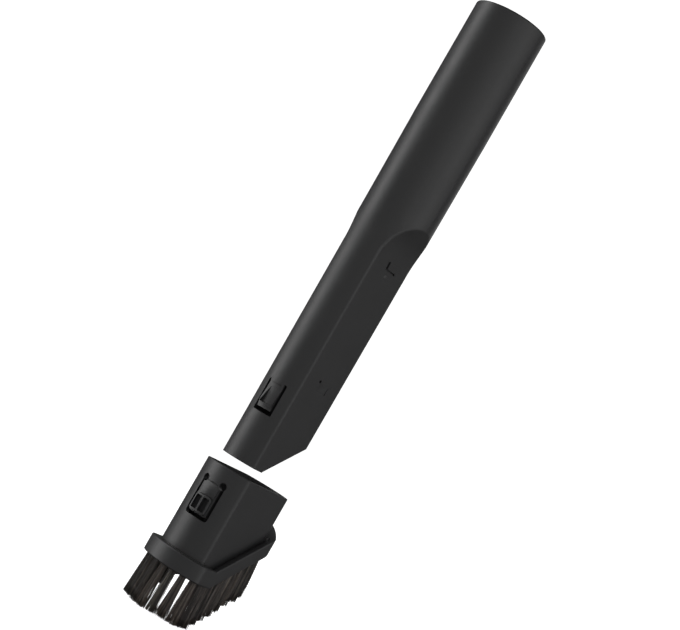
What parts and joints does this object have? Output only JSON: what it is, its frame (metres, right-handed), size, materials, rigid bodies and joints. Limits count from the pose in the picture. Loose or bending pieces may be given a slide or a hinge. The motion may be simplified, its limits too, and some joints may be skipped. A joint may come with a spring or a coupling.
{
  "type": "vacuum crevice nozzle with slide-on dusting brush",
  "caption": "Long crevice nozzle with a round wand socket, flat sides and a slanted tip, and a separate slide-on dusting brush with a thumb latch and a slanted ring of bristles.",
  "frame": {"origin": "centre of the wand socket's mouth, on the tube's axis", "axes": "+Z along the tube towards the vacuum; -Y is the front, where the catch and the thumb latch are; the flats face +X and -X"},
  "size_m": [0.038, 0.0536, 0.3266],
  "materials": {
    "nozzle_plastic": "fine moulded grain, matte",
    "brush_plastic": "fine moulded grain, matte",
    "bristle": "dark nylon filament",
    "anchor_steel": "drawn wire"
  },
  "bodies": {
    "nozzle": {"nozzle_tube": "nozzle_plastic"},
    "nozzle_catch": {"nozzle_catch": "nozzle_plastic"},
    "brush": {"brush_sleeve": "brush_plastic", "bristle_carrier": "brush_plastic", "tuft_01": "bristle", "tuft_02": "bristle", "tuft_03": "bristle", "tuft_04": "bristle", "tuft_05": "bristle", "tuft_06": "bristle", "tuft_07": "bristle", "tuft_08": "bristle", "tuft_09": "bristle", "tuft_10": "bristle", "tuft_11": "bristle", "tuft_12": "bristle", "tuft_13": "bristle", "tuft_14": "bristle", "tuft_15": "bristle", "tuft_16": "bristle", "tuft_17": "bristle", "tuft_18": "bristle", "tuft_19": "bristle", "tuft_20": "bristle", "tuft_21": "bristle", "tuft_22": "bristle", "tuft_23": "bristle", "tuft_24": "bristle", "tuft_25": "bristle", "tuft_26": "bristle", "tuft_27": "bristle", "tuft_28": "bristle", "tuft_29": "bristle", "tuft_30": "bristle", "tuft_anchors": "anchor_steel"},
    "brush_latch": {"brush_latch": "brush_plastic"}
  },
  "joints": [
    {"name": "brush_slide", "type": "slide", "parent": "nozzle", "child": "brush", "axis": [0, 0, 1], "range_m": [0, 0.116]},
    {"name": "nozzle_catch_flex", "type": "hinge", "parent": "nozzle", "child": "nozzle_catch", "pos_m": [0, -0.0167, -0.2068], "axis": [1, 0, 0], "range_deg": [0, 6], "stiffness_Nm_per_rad": 0.6},
    {"name": "brush_latch_flex", "type": "hinge", "parent": "brush", "child": "brush_latch", "pos_m": [0, -0.02075, -0.26105], "axis": [1, 0, 0], "range_deg": [0, 3.5], "stiffness_Nm_per_rad": 0.8}
  ]
}
